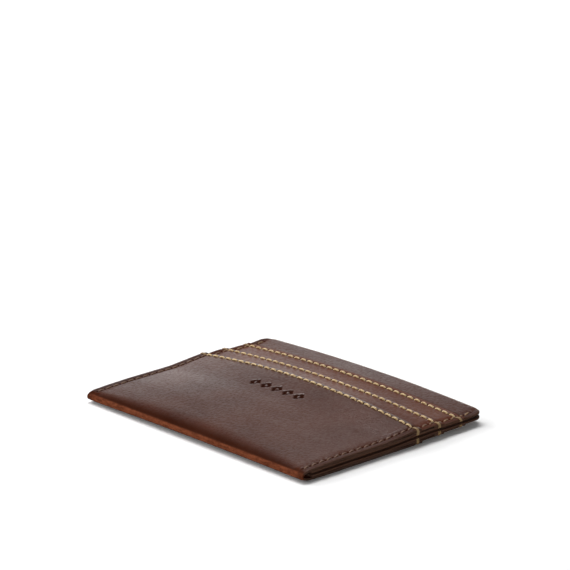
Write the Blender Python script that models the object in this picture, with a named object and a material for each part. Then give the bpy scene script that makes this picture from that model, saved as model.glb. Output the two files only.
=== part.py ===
"""Slim bifold-style card holder in waxed leather, lying on its back.

One leather wrap is folded round the bottom edge and makes the lowest pocket of both faces. Each
half then steps inwards through two narrower pocket strips to a full-height body panel, and the
two body panels make the main pocket between them, open at the mouth. Every layer rests on the
one below it, so one height rule places them all.

Units below are millimetres, measured from the fold's outer edge towards the mouth (y) and from
the middle of the width (x). point() turns them into metres about the finished part's origin,
which is the middle of its footprint on the surface it lies on.
"""

import math
from typing import NamedTuple

import bmesh
import bpy

# Overall size
WIDTH = 100.0
HEIGHT = 78.4
CORNER_RADIUS = 3.5
METRES = 0.001

# Thicknesses, each layer resting on the next with a hair of air between
WRAP_LEATHER = 0.70
BODY_LEATHER = 0.70
STRIP_LEATHER = 0.35
TAIL_FABRIC = 0.12
LINING_FABRIC = 0.20
LAYER_GAP = 0.05
MAIN_POCKET_SLIT = 0.20

# Pocket mouths, and how far each one's stitching lies below its raw edge
LOWER_MOUTH = 51.0
MIDDLE_MOUTH = 60.5
UPPER_MOUTH = 70.0
STITCH_INSET = 2.0

# Where the hidden ends of the strips and their fabric tails lie
STRIP_REACH = 13.5
TAIL_OVERLAP = 2.0
MIDDLE_POCKET_FLOOR = 10.0
UPPER_POCKET_FLOOR = 19.0
BODY_FOOT = 4.0
LINING_FOOT = 3.0
LINING_SHORT = 0.5
SKIVED_RUN = 9.0
FABRIC_RUN = 3.0
TAIL_HEAD_RUN = 2.0

# The front face swells over the main pocket, and the fold curls a little off the table
BOW_PEAK = 3.05
BOW_PEAK_AT = 46.0
BOW_AT_MOUTH = 1.75
BOW_FALL = 9.5
CURL_RUN = 14.0
CURL_AT_SIDES = 0.30
CURL_EXTRA_IN_MIDDLE = 0.40

# Seams down both short sides, and the grooves that seat the threads in the wrap
SEAM_INSET = 2.4
GROOVE_HALF_WIDTH = 0.60
GROOVE_FLOOR_HALF = 0.30
GROOVE_DEPTH = 0.50
THREAD_WIDTH = 0.50
THREAD_THICK = 0.20
THREAD_CLEAR = 0.05
CROSSING_CLEAR = 0.03
CROSSING_RUN = 1.0
SEAM_FOOT = 2.6
SEAM_TOP_INSET = 3.6

# Mesh density
COLUMNS_ACROSS = 6
ROW_SPACING = 8.0
FOLD_STEPS = 6
CORNER_STEPS = 3
SMOOTH_ANGLE = math.radians(40.0)

SEAM_X = WIDTH / 2 - SEAM_INSET
FLAT_BAND_X = SEAM_X - GROOVE_HALF_WIDTH
FRONT, BACK = "front", "back"
# The way each half's outer face looks, up or down
OUT = {FRONT: 1.0, BACK: -1.0}


class Layer(NamedTuple):
    """One sheet of a half: its thickness, the y of its foot and head, and what its ends do.

    foot_run, head_run: how far past that end the sheets over it take to come down. With no run
    they stay as high, as they do over the open fold and past a pocket's mouth.
    """

    thickness: float
    foot: float
    head: float
    foot_run: float = 0.0
    head_run: float = 0.0


MIDDLE_STRIP_FOOT = MIDDLE_MOUTH - STRIP_REACH
UPPER_STRIP_FOOT = UPPER_MOUTH - STRIP_REACH

# One half's sheets, from the main pocket outwards
LAYERS = {
    "main_lining": Layer(LINING_FABRIC, LINING_FOOT, HEIGHT - LINING_SHORT),
    "body_panel": Layer(BODY_LEATHER, BODY_FOOT, HEIGHT),
    "upper_pocket_tail": Layer(
        TAIL_FABRIC,
        UPPER_POCKET_FLOOR,
        UPPER_STRIP_FOOT + TAIL_OVERLAP,
        FABRIC_RUN,
        TAIL_HEAD_RUN,
    ),
    "upper_slot_strip": Layer(STRIP_LEATHER, UPPER_STRIP_FOOT, UPPER_MOUTH, SKIVED_RUN),
    "middle_pocket_tail": Layer(
        TAIL_FABRIC,
        MIDDLE_POCKET_FLOOR,
        MIDDLE_STRIP_FOOT + TAIL_OVERLAP,
        FABRIC_RUN,
        TAIL_HEAD_RUN,
    ),
    "middle_slot_strip": Layer(STRIP_LEATHER, MIDDLE_STRIP_FOOT, MIDDLE_MOUTH, SKIVED_RUN),
    "outer_wrap": Layer(WRAP_LEATHER, 0.0, LOWER_MOUTH),
}
ORDER = list(LAYERS)

# Pocket, the sheet that carries its stitching, and the stitch line's y
SLOTS = {
    "lower": ("outer_wrap", LOWER_MOUTH - STITCH_INSET),
    "middle": ("middle_slot_strip", MIDDLE_MOUTH - STITCH_INSET),
    "upper": ("upper_slot_strip", UPPER_MOUTH - STITCH_INSET),
}


def presence(layer, y):
    """1 where the sheet holds its neighbours apart, 0 where it doesn't, with a ramp between."""
    if layer.foot_run and y < layer.foot:
        return max(0.0, 1.0 - (layer.foot - y) / layer.foot_run)
    if layer.head_run and y > layer.head:
        return max(0.0, 1.0 - (y - layer.head) / layer.head_run)
    return 1.0


def stack(names, y):
    """Height that these sheets take up at y, with the air that goes with each."""
    return sum((LAYERS[n].thickness + LAYER_GAP) * presence(LAYERS[n], y) for n in names)


def bow(x, y):
    """How far the front swells above the back, highest in the middle of the lowest stitch line."""
    across = max(0.0, 1.0 - (x / FLAT_BAND_X) ** 2)
    if y < BOW_PEAK_AT:
        along = (y - FOLD_RADIUS) / (BOW_PEAK_AT - FOLD_RADIUS)
        return across * BOW_PEAK * math.sin(math.pi / 2 * max(0.0, along))
    fall = math.exp(-(((y - BOW_PEAK_AT) / BOW_FALL) ** 2))
    return across * (BOW_AT_MOUTH + (BOW_PEAK - BOW_AT_MOUTH) * fall)


def curl(x, y):
    """How far the whole stack lifts off the table towards the fold."""
    run = max(0.0, 1.0 - y / CURL_RUN)
    across = max(0.0, 1.0 - (x / FLAT_BAND_X) ** 2)
    return (CURL_AT_SIDES + CURL_EXTRA_IN_MIDDLE * across) * run**2


def face_height(half, name, x, y, outer):
    """Height of a sheet's outer or inner face. The outer face is away from the main pocket."""
    thickness = LAYERS[name].thickness
    place = ORDER.index(name)
    if half == BACK:
        below = stack(ORDER[place + 1 :], y)
        return below + curl(x, y) + (0.0 if outer else thickness)
    below = stack(ORDER, y) + MAIN_POCKET_SLIT - LAYER_GAP + stack(ORDER[:place], y)
    return below + curl(x, y) + bow(x, y) + (thickness if outer else 0.0)


def stack_height():
    """Thickness of the whole stack where the fold begins, before any bow."""
    both = 2 * stack(ORDER, BODY_FOOT)
    return both - 2 * LAYER_GAP + MAIN_POCKET_SLIT


FOLD_RADIUS = stack_height() / 2


def half_width(y):
    """Half the width at y, drawn in by the rounded corners at the mouth."""
    past = max(0.0, y - (HEIGHT - CORNER_RADIUS))
    drawn_in = CORNER_RADIUS - math.sqrt(max(0.0, CORNER_RADIUS**2 - past**2))
    return WIDTH / 2 - drawn_in


def groove(distance):
    """Depth of a flat-floored groove at this distance from its centreline."""
    wall = (GROOVE_HALF_WIDTH - abs(distance)) / (GROOVE_HALF_WIDTH - GROOVE_FLOOR_HALF)
    return GROOVE_DEPTH * min(1.0, max(0.0, wall))


def point(x, y, z):
    """A point in metres about the part's origin."""
    return (x * METRES, (y - HEIGHT / 2) * METRES, z * METRES)


def spread(low, high, steps):
    """steps + 1 even stations from low to high."""
    return [low + (high - low) * i / steps for i in range(steps + 1)]


def groove_stations(centre):
    """The four stations that draw a groove's shoulders and floor."""
    offsets = (-GROOVE_HALF_WIDTH, -GROOVE_FLOOR_HALF, GROOVE_FLOOR_HALF, GROOVE_HALF_WIDTH)
    return [centre + offset for offset in offsets]


def tidy(stations):
    """Sorted stations with repeats merged."""
    return sorted({round(s, 4) for s in stations})


def columns(extra=()):
    """x stations shared by every sheet, so that neighbours bend along the same lines."""
    across = spread(-FLAT_BAND_X, FLAT_BAND_X, COLUMNS_ACROSS)
    return tidy([-WIDTH / 2, *across, WIDTH / 2, *extra])


def shared_rows():
    """y stations where a sheet's height changes slope or a thread lies, and some for the bow."""
    rows = [BODY_FOOT, BOW_PEAK_AT, CURL_RUN, HEIGHT - CORNER_RADIUS]
    rows += [line for carrier, line in SLOTS.values() if carrier != "outer_wrap"]
    rows += groove_stations(SLOTS["lower"][1])
    for layer in LAYERS.values():
        if layer.foot_run:
            rows += [layer.foot, layer.foot - layer.foot_run]
        if layer.head_run:
            rows += [layer.head, layer.head + layer.head_run]
    rows = tidy(rows)
    for low, high in zip(rows[:-1], rows[1:]):
        steps = math.ceil((high - low) / ROW_SPACING)
        rows += spread(low, high, steps)[1:-1]
    return tidy(rows)


def rows_between(foot, head, extra=()):
    """The stations of a sheet from its foot to its head."""
    inside = [row for row in [*shared_rows(), *extra] if foot < row < head]
    return tidy([foot, *inside, head])


def corner_rows(head):
    """Stations round the corner radius at the mouth, up to this head."""
    start = HEIGHT - CORNER_RADIUS
    angles = spread(0.0, math.pi / 2, CORNER_STEPS)[1:-1]
    return [start + CORNER_RADIUS * math.sin(a) for a in angles if head > start]


def finish(colour, roughness):
    """A function that gives an object its own plain finish of this colour."""

    def apply(obj):
        material = bpy.data.materials.new(obj.name + "_finish")
        material.use_nodes = True
        shader = material.node_tree.nodes["Principled BSDF"]
        shader.inputs["Base Color"].default_value = (*colour, 1.0)
        shader.inputs["Roughness"].default_value = roughness
        shader.inputs["Metallic"].default_value = 0.0
        obj.data.materials.append(material)

    return apply


LEATHER = finish((0.075, 0.033, 0.020), 0.45)
LINING = finish((0.030, 0.020, 0.016), 0.85)
SLOT_THREAD = finish((0.520, 0.330, 0.130), 0.60)
SEAM_THREAD = finish((0.260, 0.150, 0.085), 0.60)


def add_object(name, bm, apply_finish):
    """Turns the bmesh into a closed, outward-facing, smoothly shaded object."""
    bmesh.ops.recalc_face_normals(bm, faces=bm.faces)
    mesh = bpy.data.meshes.new(name)
    bm.to_mesh(mesh)
    bm.free()
    mesh.shade_smooth()
    mesh.set_sharp_from_angle(angle=SMOOTH_ANGLE)
    obj = bpy.data.objects.new(name, mesh)
    bpy.context.scene.collection.objects.link(obj)
    apply_finish(obj)
    return obj


def split_cell(bm, low, high, j):
    """Two triangles over one cell, on the diagonal that neighbouring sheets use too."""
    a, b, c, d = low[j], low[j + 1], high[j + 1], high[j]
    if a.co.x + b.co.x < 0.0:
        bm.faces.new((a, b, d))
        bm.faces.new((b, c, d))
    else:
        bm.faces.new((a, b, c))
        bm.faces.new((a, c, d))


def add_sheet(name, rows, apply_finish):
    """A closed sheet. Each row is a list of (outer point, inner point) pairs, one for a column."""
    bm = bmesh.new()
    grids = []
    for side in (0, 1):
        grids.append([[bm.verts.new(pair[side]) for pair in row] for row in rows])
    last_row, last_column = len(rows) - 1, len(rows[0]) - 1
    for grid in grids:
        for low, high in zip(grid[:-1], grid[1:]):
            if low[0].co.y > high[0].co.y:
                low, high = high, low
            for j in range(last_column):
                split_cell(bm, low, high, j)
    rim = [(0, j) for j in range(last_column)]
    rim += [(i, last_column) for i in range(last_row)]
    rim += [(last_row, j) for j in range(last_column, 0, -1)]
    rim += [(i, 0) for i in range(last_row, 0, -1)]
    outer, inner = grids
    for (i, j), (k, m) in zip(rim, [*rim[1:], rim[0]]):
        bm.faces.new((outer[i][j], inner[i][j], inner[k][m], outer[k][m]))
    return add_object(name, bm, apply_finish)


def sheet_row(half, name, y, xs):
    """One row of a sheet, with the thread grooves cut into the wrap's outer face."""
    scale = half_width(y) / (WIDTH / 2)
    row = []
    for x in xs:
        cut = wrap_cut(x, y) if name == "outer_wrap" else 0.0
        outer = face_height(half, name, x, y, True) - OUT[half] * cut
        inner = face_height(half, name, x, y, False)
        row.append((point(x * scale, y, outer), point(x * scale, y, inner)))
    return row


def add_flat_sheet(half, name, apply_finish):
    """A sheet of one half that isn't folded."""
    layer = LAYERS[name]
    rows = rows_between(layer.foot, layer.head, corner_rows(layer.head))
    grid = [sheet_row(half, name, y, columns()) for y in rows]
    return add_sheet(f"{half}_{name}", grid, apply_finish)


def wrap_cut(x, y):
    """Depth of the wrap's grooves: a seam down each side and the lowest slot line."""
    return max(groove(abs(x) - SEAM_X), groove(y - SLOTS["lower"][1]))


def add_outer_wrap():
    """The wrap: front pocket, fold and back pocket in one piece of leather."""
    name = "outer_wrap"
    xs = columns([*groove_stations(SEAM_X), *groove_stations(-SEAM_X)])
    rows = rows_between(FOLD_RADIUS, LOWER_MOUTH)
    grid = [sheet_row(FRONT, name, y, xs) for y in reversed(rows)]
    for turn in spread(0.0, math.pi, FOLD_STEPS)[1:-1]:
        row = []
        for x in xs:
            centre = FOLD_RADIUS + curl(x, FOLD_RADIUS)
            radii = (FOLD_RADIUS, FOLD_RADIUS - WRAP_LEATHER)
            ends = [
                point(x, FOLD_RADIUS - r * math.sin(turn), centre + r * math.cos(turn))
                for r in radii
            ]
            row.append(tuple(ends))
        grid.append(row)
    grid += [sheet_row(BACK, name, y, xs) for y in rows]
    return add_sheet(name, grid, LEATHER)


def add_thread(name, path, apply_finish):
    """A flattened thread swept along path, a list of (place, away, side, fullness).

    away is the direction off the leather and side lies across the thread; fullness widens the
    thread's thickness where it turns a corner.
    """
    bm = bmesh.new()
    half_w, half_t = THREAD_WIDTH / 2, THREAD_THICK / 2
    section = [(-1.0, 0.0), (-0.6, 1.0), (0.6, 1.0), (1.0, 0.0), (0.6, -1.0), (-0.6, -1.0)]
    rings = []
    for place, away, side, fullness in path:
        ring = []
        for across, up in section:
            shift = [
                across * half_w * s + up * half_t * fullness * a for s, a in zip(side, away)
            ]
            ring.append(bm.verts.new(point(*(p + d for p, d in zip(place, shift)))))
        rings.append(ring)
    for ring, following in zip(rings[:-1], rings[1:]):
        for i in range(len(section)):
            k = (i + 1) % len(section)
            bm.faces.new((ring[i], ring[k], following[k], following[i]))
    bm.faces.new(rings[0])
    bm.faces.new(reversed(rings[-1]))
    return add_object(name, bm, apply_finish)


def add_slot_thread(half, pocket):
    """Stitching along a pocket mouth, turned down over the half's raw sides at both ends."""
    carrier, line = SLOTS[pocket]
    out = OUT[half]
    rise = THREAD_CLEAR + THREAD_THICK / 2
    floor = GROOVE_DEPTH if carrier == "outer_wrap" else 0.0
    side = (0.0, 1.0, 0.0)

    def height(x):
        return face_height(half, carrier, x, line, True) + out * (rise - floor)

    face = [((x, line, height(x)), (0.0, 0.0, out), side, 1.0) for x in columns()[1:-1]]
    turned = []
    for hand in (-1.0, 1.0):
        x = hand * (WIDTH / 2 + rise)
        top = height(x)
        foot = face_height(half, "main_lining", x, line, False)
        corner = (hand * math.sqrt(0.5), 0.0, out * math.sqrt(0.5))
        turned.append(
            [
                ((x, line, foot + out * LAYER_GAP), (hand, 0.0, 0.0), side, 1.0),
                ((x, line, top), corner, side, math.sqrt(2.0)),
            ]
        )
    path = [*turned[0], *face, *reversed(turned[1])]
    return add_thread(f"{half}_slot_thread_{pocket}", path, SLOT_THREAD)


def seam_lift(carrier, y):
    """Height of the seam thread's middle above its carrier's outer face."""
    if carrier == "outer_wrap":
        return -CROSSING_CLEAR - THREAD_THICK / 2
    lift = THREAD_CLEAR + THREAD_THICK / 2
    for slot_carrier, line in SLOTS.values():
        if slot_carrier == carrier and abs(y - line) < CROSSING_RUN:
            lift += THREAD_THICK + CROSSING_CLEAR
    return lift


def add_seam_thread(half, hand_name, hand):
    """Seam stitching down one side of a half, from the fold over each pocket step to the mouth.

    It passes over each slot line's thread, and in the wrap both lie within the grooves.
    """
    x = hand * SEAM_X
    crossings = []
    for _, line in SLOTS.values():
        crossings += [line - CROSSING_RUN, line - CROSSING_RUN / 2]
        crossings += [line + CROSSING_RUN / 2, line + CROSSING_RUN]
    carriers = ["outer_wrap", "middle_slot_strip", "upper_slot_strip", "body_panel"]
    heads = [LAYERS[c].head + THREAD_THICK for c in carriers[:-1]] + [HEIGHT - SEAM_TOP_INSET]
    foot = SEAM_FOOT
    path = []
    for carrier, head in zip(carriers, heads):
        for y in rows_between(foot, head, crossings):
            face = face_height(half, carrier, x, min(y, LAYERS[carrier].head), True)
            z = face + OUT[half] * seam_lift(carrier, y)
            path.append(((x, y, z), (0.0, 0.0, OUT[half]), (1.0, 0.0, 0.0), 1.0))
        foot = head + 2 * THREAD_THICK
    return add_thread(f"{half}_seam_thread_{hand_name}", path, SEAM_THREAD)


def build():
    """The whole card holder."""
    for obj in list(bpy.data.objects):
        bpy.data.objects.remove(obj, do_unlink=True)
    add_outer_wrap()
    for half in (FRONT, BACK):
        for name in ("body_panel", "upper_slot_strip", "middle_slot_strip"):
            add_flat_sheet(half, name, LEATHER)
        for name in ("main_lining", "upper_pocket_tail", "middle_pocket_tail"):
            add_flat_sheet(half, name, LINING)
        for pocket in SLOTS:
            add_slot_thread(half, pocket)
        for hand_name, hand in (("left", -1.0), ("right", 1.0)):
            add_seam_thread(half, hand_name, hand)


build()
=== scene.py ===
# %% [markdown]
# # A slim leather card holder
# The real thing is a stack of thin sheets: one wrap folded round the bottom edge, two strips and a
# body panel on each face, and fabric between them. They are sewn down both short sides and trimmed
# flush. This script dresses a finished frame of those sheets. It keeps every place and size, and
# adds what a maker's hands leave behind: rounded cut edges, pressed stitch lines, swollen leather,
# twisted thread and a waxed surface.

# %% Load the frame
import math
from typing import NamedTuple

import bpy
import numpy as np
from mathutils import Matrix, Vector, noise


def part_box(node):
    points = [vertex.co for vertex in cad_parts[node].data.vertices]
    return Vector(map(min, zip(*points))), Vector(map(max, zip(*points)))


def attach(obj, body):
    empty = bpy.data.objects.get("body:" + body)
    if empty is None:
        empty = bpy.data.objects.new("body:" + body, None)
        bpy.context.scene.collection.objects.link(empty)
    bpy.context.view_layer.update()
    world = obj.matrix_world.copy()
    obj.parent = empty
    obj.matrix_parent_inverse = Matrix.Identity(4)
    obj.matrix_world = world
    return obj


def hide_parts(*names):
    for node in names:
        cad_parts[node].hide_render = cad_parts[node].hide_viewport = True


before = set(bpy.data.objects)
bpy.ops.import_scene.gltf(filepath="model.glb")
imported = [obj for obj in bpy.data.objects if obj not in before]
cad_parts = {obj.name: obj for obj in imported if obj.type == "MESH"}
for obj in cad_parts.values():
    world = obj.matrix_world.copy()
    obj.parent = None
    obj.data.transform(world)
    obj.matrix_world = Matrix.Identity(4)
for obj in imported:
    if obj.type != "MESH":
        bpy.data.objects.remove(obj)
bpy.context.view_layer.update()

MM = 0.001
print("frame nodes:", len(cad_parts))

# %% [markdown]
# ## Reading the sizes off the frame
# Every length here is in millimetres. `y` runs from the outside of the fold up to the mouth, and `x`
# from the middle to the sides, because that is how a pattern for such a holder is drawn. The frame's
# boxes give the ends of each sheet and the stitch lines; only leather and cloth gauges are stated.

# %% Sizes from the frame


def span(node, axis):
    """Lowest and highest value of a node along an axis, in millimetres."""
    low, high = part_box(node)
    return low[axis] / MM, high[axis] / MM


FOLD = span("outer_wrap", 1)[0]
WIDTH = span("outer_wrap", 0)[1] - span("outer_wrap", 0)[0]
HEIGHT = span("front_body_panel", 1)[1] - FOLD
SEAM_X = sum(span("front_seam_thread_right", 0)) / 2
SEAM_START, SEAM_END = (v - FOLD for v in span("front_seam_thread_right", 1))
LINES = {p: sum(span(f"front_slot_thread_{p}", 1)) / 2 - FOLD for p in ("lower", "middle", "upper")}
print(f"{WIDTH:.1f} x {HEIGHT:.1f} mm, seams {SEAM_X:.1f} mm from the middle")
print("stitch lines up from the fold:", {p: round(y, 1) for p, y in LINES.items()})


class Sheet(NamedTuple):
    """One layer of a half, with its gauge, its ends and how far its neighbours take to step down."""

    gauge: float
    foot: float
    head: float
    foot_run: float = 0.0
    head_run: float = 0.0


def ends(name):
    """Foot and head of a sheet, from the fold."""
    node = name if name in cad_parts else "front_" + name
    return [v - FOLD for v in span(node, 1)]


# From the main pocket outwards
SHEETS = {
    "main_lining": Sheet(0.20, *ends("main_lining")),
    "body_panel": Sheet(0.70, *ends("body_panel")),
    "upper_pocket_tail": Sheet(0.12, *ends("upper_pocket_tail"), 16.0, 2.0),
    "upper_slot_strip": Sheet(0.35, *ends("upper_slot_strip"), 14.0),
    "middle_pocket_tail": Sheet(0.12, *ends("middle_pocket_tail"), 9.0, 2.0),
    "middle_slot_strip": Sheet(0.35, *ends("middle_slot_strip"), 14.0),
    "outer_wrap": Sheet(0.70, *ends("outer_wrap")),
}
ORDER = list(SHEETS)
CARRIERS = {"lower": "outer_wrap", "middle": "middle_slot_strip", "upper": "upper_slot_strip"}
OUT = {"front": 1.0, "back": -1.0}

# %% [markdown]
# ## One height rule for every sheet
# A stack of leather isn't drawn sheet by sheet: each one lies on what is under it. So one function
# adds up the gauges below a point, and every sheet asks it for its height. The back lies flat on the
# table, the front swells over the main pocket, and near the fold the whole stack curls up a little.
# The steps are smoothed, because skived leather fades out instead of ending in a ledge.

# %% Layers on each other
# Air between two layers, and the gap between the two halves
AIR, SLIT = 0.05, 0.20


def smooth(low, high, value):
    """0 up to low, 1 from high, and a soft S between."""
    t = np.clip((np.asarray(value, dtype=float) - low) / (high - low), 0.0, 1.0)
    return t * t * (3.0 - 2.0 * t)


def presence(sheet, y):
    """How much of its gauge a sheet adds under its neighbours at y."""
    share = np.ones_like(y)
    if sheet.foot_run:
        share = share * smooth(sheet.foot - sheet.foot_run, sheet.foot, y)
    if sheet.head_run:
        share = share * (1.0 - smooth(sheet.head, sheet.head + sheet.head_run, y))
    return share


def pile(names, y):
    """Height that these sheets take up, with the air that goes with each."""
    return sum((SHEETS[n].gauge + AIR) * presence(SHEETS[n], y) for n in names)


for y in (5.0, 30.0, 55.0, 75.0):
    print(f"one half is {float(pile(ORDER, np.array(y))):.2f} mm thick, {y:.0f} mm up from the fold")

# %% How the stack bows and curls
FLAT_BAND_X, SWELL_POWER = SEAM_X - 0.6, 1.1
BOW_PEAK, BOW_PEAK_AT, BOW_AT_MOUTH, BOW_FALL = 3.05, 46.0, 1.75, 9.5
CURL_RUN, CURL_AT_SIDES, CURL_EXTRA = 14.0, 0.30, 0.40
CORNER_FLARE, CORNER_FLARE_RUN = 0.55, 7.0


def swell(x):
    """1 in the middle of the width and 0 at the seams."""
    return np.clip(1.0 - (x / FLAT_BAND_X) ** 2, 0.0, 1.0) ** SWELL_POWER


def bow(x, y):
    """How far the front stands off the back."""
    rise = BOW_PEAK * np.sin(math.pi / 2 * np.clip(y / BOW_PEAK_AT, 0.0, 1.0))
    fall = BOW_AT_MOUTH + (BOW_PEAK - BOW_AT_MOUTH) * np.exp(-(((y - BOW_PEAK_AT) / BOW_FALL) ** 2))
    return swell(x) * np.where(y < BOW_PEAK_AT, rise, fall)


def curl(x, y):
    """How far the stack lifts off the table towards the fold."""
    return (CURL_AT_SIDES + CURL_EXTRA * swell(x)) * np.clip(1.0 - y / CURL_RUN, 0.0, 1.0) ** 2


def flare(x, y):
    """How far the free corners of the mouth part, beyond the end of the seam."""
    return CORNER_FLARE * smooth(SEAM_END - CORNER_FLARE_RUN, HEIGHT, y) * (1.0 - swell(x))


middle, mouth = np.zeros(1), np.full(1, HEIGHT)
open_by = float(bow(middle, mouth)[0])
print(f"the front stands {BOW_PEAK:.2f} mm off the back, and {open_by:.2f} mm at the mouth")

# %% Height of one sheet
LOOSE, LOOSE_PATCH, LOOSE_SEED = 0.10, 17.0, 3.0
GAPE, GAPE_RUN = 0.22, 4.5


def wander(x, y, size, seed):
    """Smooth noise from -1 to 1 over the plan, in patches of this size in millimetres."""
    flat = [noise.noise(Vector((a / size, b / size, seed))) for a, b in zip(x.ravel(), y.ravel())]
    return np.array(flat).reshape(x.shape)


def gape(name, x, y):
    """How far the mouth of a pocket stands off what is under it."""
    if name not in CARRIERS.values():
        return 0.0
    return GAPE * smooth(-GAPE_RUN, 0.0, y - SHEETS[name].head) * swell(x)


def middle_height(half, name, x, y):
    """Height of a sheet's middle, before the stack rounds over into the fold."""
    place = ORDER.index(name)
    base = pile(ORDER[place + 1 :], y) + curl(x, y) + SHEETS[name].gauge / 2
    if half == "back":
        return base
    below = pile(ORDER, y) + SLIT - AIR + pile(ORDER[:place], y)
    loose = LOOSE * wander(x, y, LOOSE_PATCH, LOOSE_SEED) * swell(x)
    lift = bow(x, y) + flare(x, y) + loose + gape(name, x, y)
    return below + curl(x, y) + lift + SHEETS[name].gauge / 2


top = float(middle_height("front", "outer_wrap", middle, np.full(1, BOW_PEAK_AT))[0])
print(f"the front pocket's leather lies {top:.2f} mm over the table at its highest")

# %% [markdown]
# ## Rounding over into the fold
# Leather this thick can't turn a sharp corner. The front comes down to the fold on a long easy
# curve, and the back turns up more tightly, because it lies on the table. Both are quarters of a
# stretched circle that meet at the nose, and the same squeeze holds the sheets inside together.

# %% The nose
NOSE_HEIGHT = 1.45
REACH_AT_SIDES = {"front": 4.2, "back": 3.0}
REACH_EXTRA = {"front": 3.6, "back": 0.0}
ROUND_POWER = {"front": 2.3, "back": 2.0}
INNER_SQUEEZE, INNER_SQUEEZE_TO = 0.07, 9.0


def nose(x):
    """Height of the foremost line of the fold."""
    return NOSE_HEIGHT + curl(x, np.zeros_like(x))


def squeeze(half, x, y):
    """Share of its height over or under the nose that the stack has reached at y."""
    reach, power = REACH_AT_SIDES[half] + REACH_EXTRA[half] * swell(x), ROUND_POWER[half]
    short = np.clip(1.0 - y / reach, 0.0, 1.0)
    return (1.0 - short**power) ** (1.0 / power)


def settle(half, name, x, y, z):
    """Brings a height of the plain stack down, or up, into the rounded one."""
    rounded = nose(x) + (z - nose(x)) * squeeze(half, x, y)
    inside = name != "outer_wrap"
    return rounded - OUT[half] * inside * INNER_SQUEEZE * (1.0 - smooth(0.0, INNER_SQUEEZE_TO, y))


print(f"the nose of the fold is {float(nose(middle)[0]):.2f} mm over the table in the middle")

# %% [markdown]
# ## Stitch holes
# A pricking iron marks evenly spaced holes before sewing, so each line is laid out by a pitch: about
# 3 mm here. The same stations place the thread, the dimples that it pulls into the leather and the
# loops that lock each pocket corner round the raw side.

# %% Stitch stations
PITCH = 3.1


def holes(low, high):
    """Evenly spaced hole stations from low to high, as near to the pitch as they come."""
    count = round((high - low) / PITCH)
    return np.linspace(low, high, count + 1)


def nearest(stations, value):
    """Distance from value to the nearest station."""
    middles = (stations[:-1] + stations[1:]) / 2
    return value - stations[np.searchsorted(middles, value)]


LINE_HOLES = holes(-SEAM_X, SEAM_X)
SEAM_HOLES = holes(SEAM_START, SEAM_END)
print(len(LINE_HOLES) - 1, "stitches on a slot line,", len(SEAM_HOLES) - 1, "on a seam")

# %% [markdown]
# ## Surface relief
# These functions say how far a face is pushed in. A seam squeezes the whole stack along the side
# and presses a narrow channel; each hole pulls a dimple; thread looped round the side nips the
# edge. The front pocket also has a small row of blind-tooled lozenges, a plain ornament from a
# hand stamp. All of it is shape, so it holds up from every side and under any light.

# %% Squeezed seams
PINCH, PINCH_WIDTH, PINCH_START = 0.12, 1.05, (1.0, 4.0)
SIDE_PINCH, SIDE_PINCH_FROM = 0.07, SEAM_X + 0.6


def parting(x, y):
    """Height of the plane between the two halves."""
    return pile(ORDER, y) - AIR + SLIT / 2 + curl(x, y)


def pinched(x, y, z):
    """Squeezes a height towards the parting plane along the side seams."""
    side = np.abs(x)
    share = PINCH * np.exp(-(((side - SEAM_X) / PINCH_WIDTH) ** 2)) * smooth(*PINCH_START, y)
    share = share + SIDE_PINCH * smooth(SIDE_PINCH_FROM, WIDTH / 2, side)
    level = parting(x, y)
    return level + (z - level) * (1.0 - share)


def face_height(half, name, x, y, side):
    """Height of a face before its own relief. side is 1 for the outer face and -1 for the inner."""
    z = middle_height(half, name, x, y) + OUT[half] * side * SHEETS[name].gauge / 2
    return settle(half, name, x, y, pinched(x, y, z))


print(f"the seams squeeze the stack by {PINCH:.0%}, and the raw sides by {SIDE_PINCH:.0%}")

# %% Stitch lines and the stamp
CHANNEL = {"front": 0.14, "back": 0.42}
STRIP_CHANNEL = CHANNEL["front"] * 0.6
CHANNEL_WIDTH, CHANNEL_RUN_OUT = 0.60, 1.5
LINE_DIMPLE, SEAM_DIMPLE, DIMPLE_RADIUS = 0.22, 0.14, 0.50
NIP, NIP_RUN = 0.22, 0.8
SHOWN_RUN = 0.5
STAMP_X, STAMP_Y = -2.5, 38.7
STAMP_COUNT, STAMP_PITCH = 5, 5.0
STAMP_HALF_X, STAMP_HALF_Y = 2.2, 2.5
STAMP_DEPTH = 0.34
STAMP_WALL, STAMP_HEART = (0.86, 1.04), (0.20, 0.38)


def next_head(name):
    """Where the next leather sheet out ends, or None over the outermost."""
    outward = [n for n in ORDER[ORDER.index(name) + 1 :] if "tail" not in n]
    return SHEETS[outward[0]].head if outward else None


def exposed(name, y):
    """1 where the sheet shows, 0 where the next sheet out covers it."""
    head = next_head(name)
    return 1.0 if head is None else smooth(head, head + SHOWN_RUN, y)


def channel(across, along, stations, depth, dimple):
    """A pressed stitch line with a dimple of this depth at each hole."""
    groove = depth * np.exp(-((across / CHANNEL_WIDTH) ** 2))
    reach = (across**2 + nearest(stations, along) ** 2) / DIMPLE_RADIUS**2
    inside = smooth(stations[0] - CHANNEL_RUN_OUT, stations[0], along)
    inside = inside * (1.0 - smooth(stations[-1], stations[-1] + CHANNEL_RUN_OUT, along))
    return (groove + dimple * np.exp(-reach)) * inside


def stamp(x, y):
    """0 to 1 over a row of stamped lozenges, each left raised in the middle."""
    across = x - STAMP_X
    half_row = (STAMP_COUNT - 1) / 2 * STAMP_PITCH
    nearest_one = np.round((across + half_row) / STAMP_PITCH) * STAMP_PITCH - half_row
    across = across - np.clip(nearest_one, -half_row, half_row)
    reach = np.abs(across) / STAMP_HALF_X + np.abs(y - STAMP_Y) / STAMP_HALF_Y
    return (1.0 - smooth(*STAMP_WALL, reach)) * smooth(*STAMP_HEART, reach)


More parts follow.
